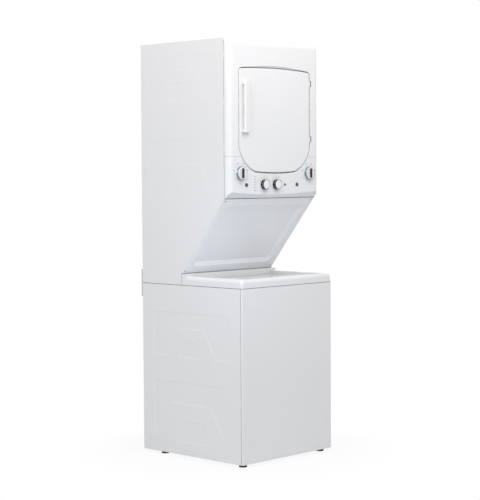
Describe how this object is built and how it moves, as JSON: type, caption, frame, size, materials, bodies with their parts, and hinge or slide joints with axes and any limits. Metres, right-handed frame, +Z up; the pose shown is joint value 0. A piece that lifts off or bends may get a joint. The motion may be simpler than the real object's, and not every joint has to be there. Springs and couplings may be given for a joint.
{
  "type": "washer dryer stack",
  "caption": "Stacked laundry unit: tumble dryer with a hinged front door and knob panel above a top-loading washer with a lift-up lid, joined by a sloped panel.",
  "frame": {"origin": "middle of the bounding box at floor level, under the levelling feet", "axes": "+X to the right as seen from the front, -Y is the front with the door, +Z up"},
  "size_m": [0.606, 0.688, 1.9074],
  "materials": {
    "cabinet_enamel": "gloss white enamel",
    "lid_enamel": "gloss white enamel",
    "door_enamel": "gloss white enamel",
    "door_liner": "satin white",
    "panel_plastic": "moulded white, satin gloss",
    "handle_plastic": "moulded white",
    "galvanised": "zinc coated sheet",
    "bulkhead_enamel": "baked enamel",
    "drum_enamel": "powder coat",
    "basket_enamel": "porcelain enamel",
    "tub_plastic": "filled polypropylene",
    "agitator_plastic": "moulded white",
    "drive_steel": "machined",
    "gear_alloy": "die cast",
    "motor_paint": "dark enamel",
    "bearing_alloy": "sintered",
    "black_rubber": "matt",
    "gasket_felt": "felt",
    "grey_plastic": "moulded",
    "knob_plastic": "moulded, bright skirt",
    "button_plastic": "moulded dark grey",
    "lens_plastic": "tinted",
    "screw_zinc": "zinc plated"
  },
  "bodies": {
    "cabinet": {"blower_housing": "grey_plastic", "cabinet_screws": "screw_zinc", "control_panel": "panel_plastic", "control_switches": "grey_plastic", "door_catch": "grey_plastic", "door_hinge_brackets": "drive_steel", "drain_hose": "black_rubber", "drum_bearing": "bearing_alloy", "drum_belt": "black_rubber", "dryer_base": "galvanised", "dryer_front_panel": "cabinet_enamel", "dryer_motor": "motor_paint", "dryer_rear_panel": "galvanised", "dryer_side_left": "cabinet_enamel", "dryer_side_right": "cabinet_enamel", "dryer_top_panel": "cabinet_enamel", "exhaust_duct": "galvanised", "front_bulkhead": "bulkhead_enamel", "heater_box": "galvanised", "indicator_lenses": "lens_plastic", "inlet_valve": "grey_plastic", "rear_bulkhead": "galvanised", "sloped_panel": "cabinet_enamel", "suspension_rods": "drive_steel", "suspension_springs": "drive_steel", "washer_base": "galvanised", "washer_deck": "cabinet_enamel", "washer_front_panel": "cabinet_enamel", "washer_rear_panel": "galvanised", "washer_side_left": "cabinet_enamel", "washer_side_right": "cabinet_enamel"},
    "dryer_door": {"door_outer": "door_enamel", "door_inner": "door_liner", "door_gasket": "gasket_felt", "door_handle": "handle_plastic", "door_hinge_pins": "drive_steel"},
    "washer_lid": {"washer_lid": "lid_enamel"},
    "drum": {"dryer_drum": "drum_enamel"},
    "dryer_rotor": {"dryer_motor_pulley": "drive_steel", "blower_wheel": "grey_plastic"},
    "idler_arm": {"idler_arm": "drive_steel"},
    "idler_pulley": {"idler_pulley": "grey_plastic"},
    "lint_filter": {"lint_filter": "grey_plastic"},
    "tub": {"outer_tub": "tub_plastic", "gearcase": "gear_alloy", "washer_motor": "motor_paint", "washer_belt": "black_rubber", "drain_pump": "grey_plastic"},
    "basket": {"wash_basket": "basket_enamel", "balance_ring": "tub_plastic", "drive_shaft": "drive_steel"},
    "agitator": {"agitator": "agitator_plastic"},
    "washer_motor_rotor": {"washer_motor_pulley": "drive_steel"},
    "washer_cycle_knob": {"washer_cycle_knob": "knob_plastic"},
    "dryer_cycle_knob": {"dryer_cycle_knob": "knob_plastic"},
    "load_size_knob": {"load_size_knob": "knob_plastic"},
    "temperature_knob": {"temperature_knob": "knob_plastic"},
    "washer_start_button": {"washer_start_button": "button_plastic"},
    "dryer_start_button": {"dryer_start_button": "button_plastic"},
    "feet": {"leveling_feet": "black_rubber"}
  },
  "joints": [
    {"name": "dryer_door_hinge", "type": "hinge", "parent": "cabinet", "child": "dryer_door", "pos_m": [0.245, -0.2655, 1.721], "axis": [0, 0, 1], "range_deg": [0, 110]},
    {"name": "washer_lid_hinge", "type": "hinge", "parent": "cabinet", "child": "washer_lid", "pos_m": [0, -0.00329, 0.81426], "axis": [-1, 0, 0], "range_deg": [0, 57]},
    {"name": "drum_spin", "type": "hinge", "parent": "cabinet", "child": "drum", "pos_m": [0, 0.256, 1.58], "axis": [0, 1, 0], "continuous": true},
    {"name": "dryer_motor_spin", "type": "hinge", "parent": "cabinet", "child": "dryer_rotor", "pos_m": [0.11, 0.072, 1.06], "axis": [0, 1, 0], "continuous": true},
    {"name": "idler_swing", "type": "hinge", "parent": "cabinet", "child": "idler_arm", "pos_m": [0.034, 0.198, 1.064], "axis": [0, -1, 0], "range_deg": [0, 15], "stiffness_Nm_per_rad": 2, "springref_deg": -28.65},
    {"name": "idler_spin", "type": "hinge", "parent": "idler_arm", "child": "idler_pulley", "pos_m": [-0.04036, 0.224, 1.17913], "axis": [0, 1, 0], "continuous": true},
    {"name": "lint_filter_lift", "type": "slide", "parent": "cabinet", "child": "lint_filter", "axis": [0, 0, 1], "range_m": [0, 0.17]},
    {"name": "tub_bounce", "type": "slide", "parent": "cabinet", "child": "tub", "axis": [0, 0, 1], "range_m": [-0.012, 0.012], "stiffness_N_per_m": 24000, "springref_m": 0.01342, "deforming": ["suspension_springs", "drain_hose"]},
    {"name": "basket_spin", "type": "hinge", "parent": "tub", "child": "basket", "pos_m": [0, -0.062, 0.285], "axis": [0, 0, 1], "continuous": true},
    {"name": "agitator_swing", "type": "hinge", "parent": "basket", "child": "agitator", "pos_m": [0, -0.062, 0.29], "axis": [0, 0, 1], "range_deg": [-90, 90]},
    {"name": "washer_motor_spin", "type": "hinge", "parent": "tub", "child": "washer_motor_rotor", "pos_m": [0, 0.123, 0.116], "axis": [0, 0, 1], "continuous": true},
    {"name": "washer_cycle_knob_turn", "type": "hinge", "parent": "cabinet", "child": "washer_cycle_knob", "pos_m": [-0.229, -0.2705, 1.307], "axis": [0, 1, 0], "continuous": true},
    {"name": "dryer_cycle_knob_turn", "type": "hinge", "parent": "cabinet", "child": "dryer_cycle_knob", "pos_m": [0.229, -0.2705, 1.307], "axis": [0, 1, 0], "continuous": true},
    {"name": "load_size_knob_turn", "type": "hinge", "parent": "cabinet", "child": "load_size_knob", "pos_m": [-0.076, -0.2705, 1.256], "axis": [0, 1, 0], "range_deg": [-90, 90]},
    {"name": "temperature_knob_turn", "type": "hinge", "parent": "cabinet", "child": "temperature_knob", "pos_m": [0.004, -0.2705, 1.256], "axis": [0, 1, 0], "range_deg": [-60, 60]},
    {"name": "washer_start_button_press", "type": "slide", "parent": "cabinet", "child": "washer_start_button", "axis": [0, 1, 0], "range_m": [0, 0.0025], "stiffness_N_per_m": 800, "springref_m": -0.0015},
    {"name": "dryer_start_button_press", "type": "slide", "parent": "cabinet", "child": "dryer_start_button", "axis": [0, 1, 0], "range_m": [0, 0.0025], "stiffness_N_per_m": 800, "springref_m": -0.0015},
    {"name": "feet_screw_out", "type": "slide", "parent": "cabinet", "child": "feet", "axis": [0, 0, -1], "range_m": [0, 0.012]}
  ],
  "couplings": [
    {"joint": "dryer_motor_spin", "follows": "drum_spin", "ratio": 17.064},
    {"joint": "idler_spin", "follows": "drum_spin", "ratio": -11.857},
    {"joint": "washer_motor_spin", "follows": "basket_spin", "ratio": 3.1371}
  ]
}
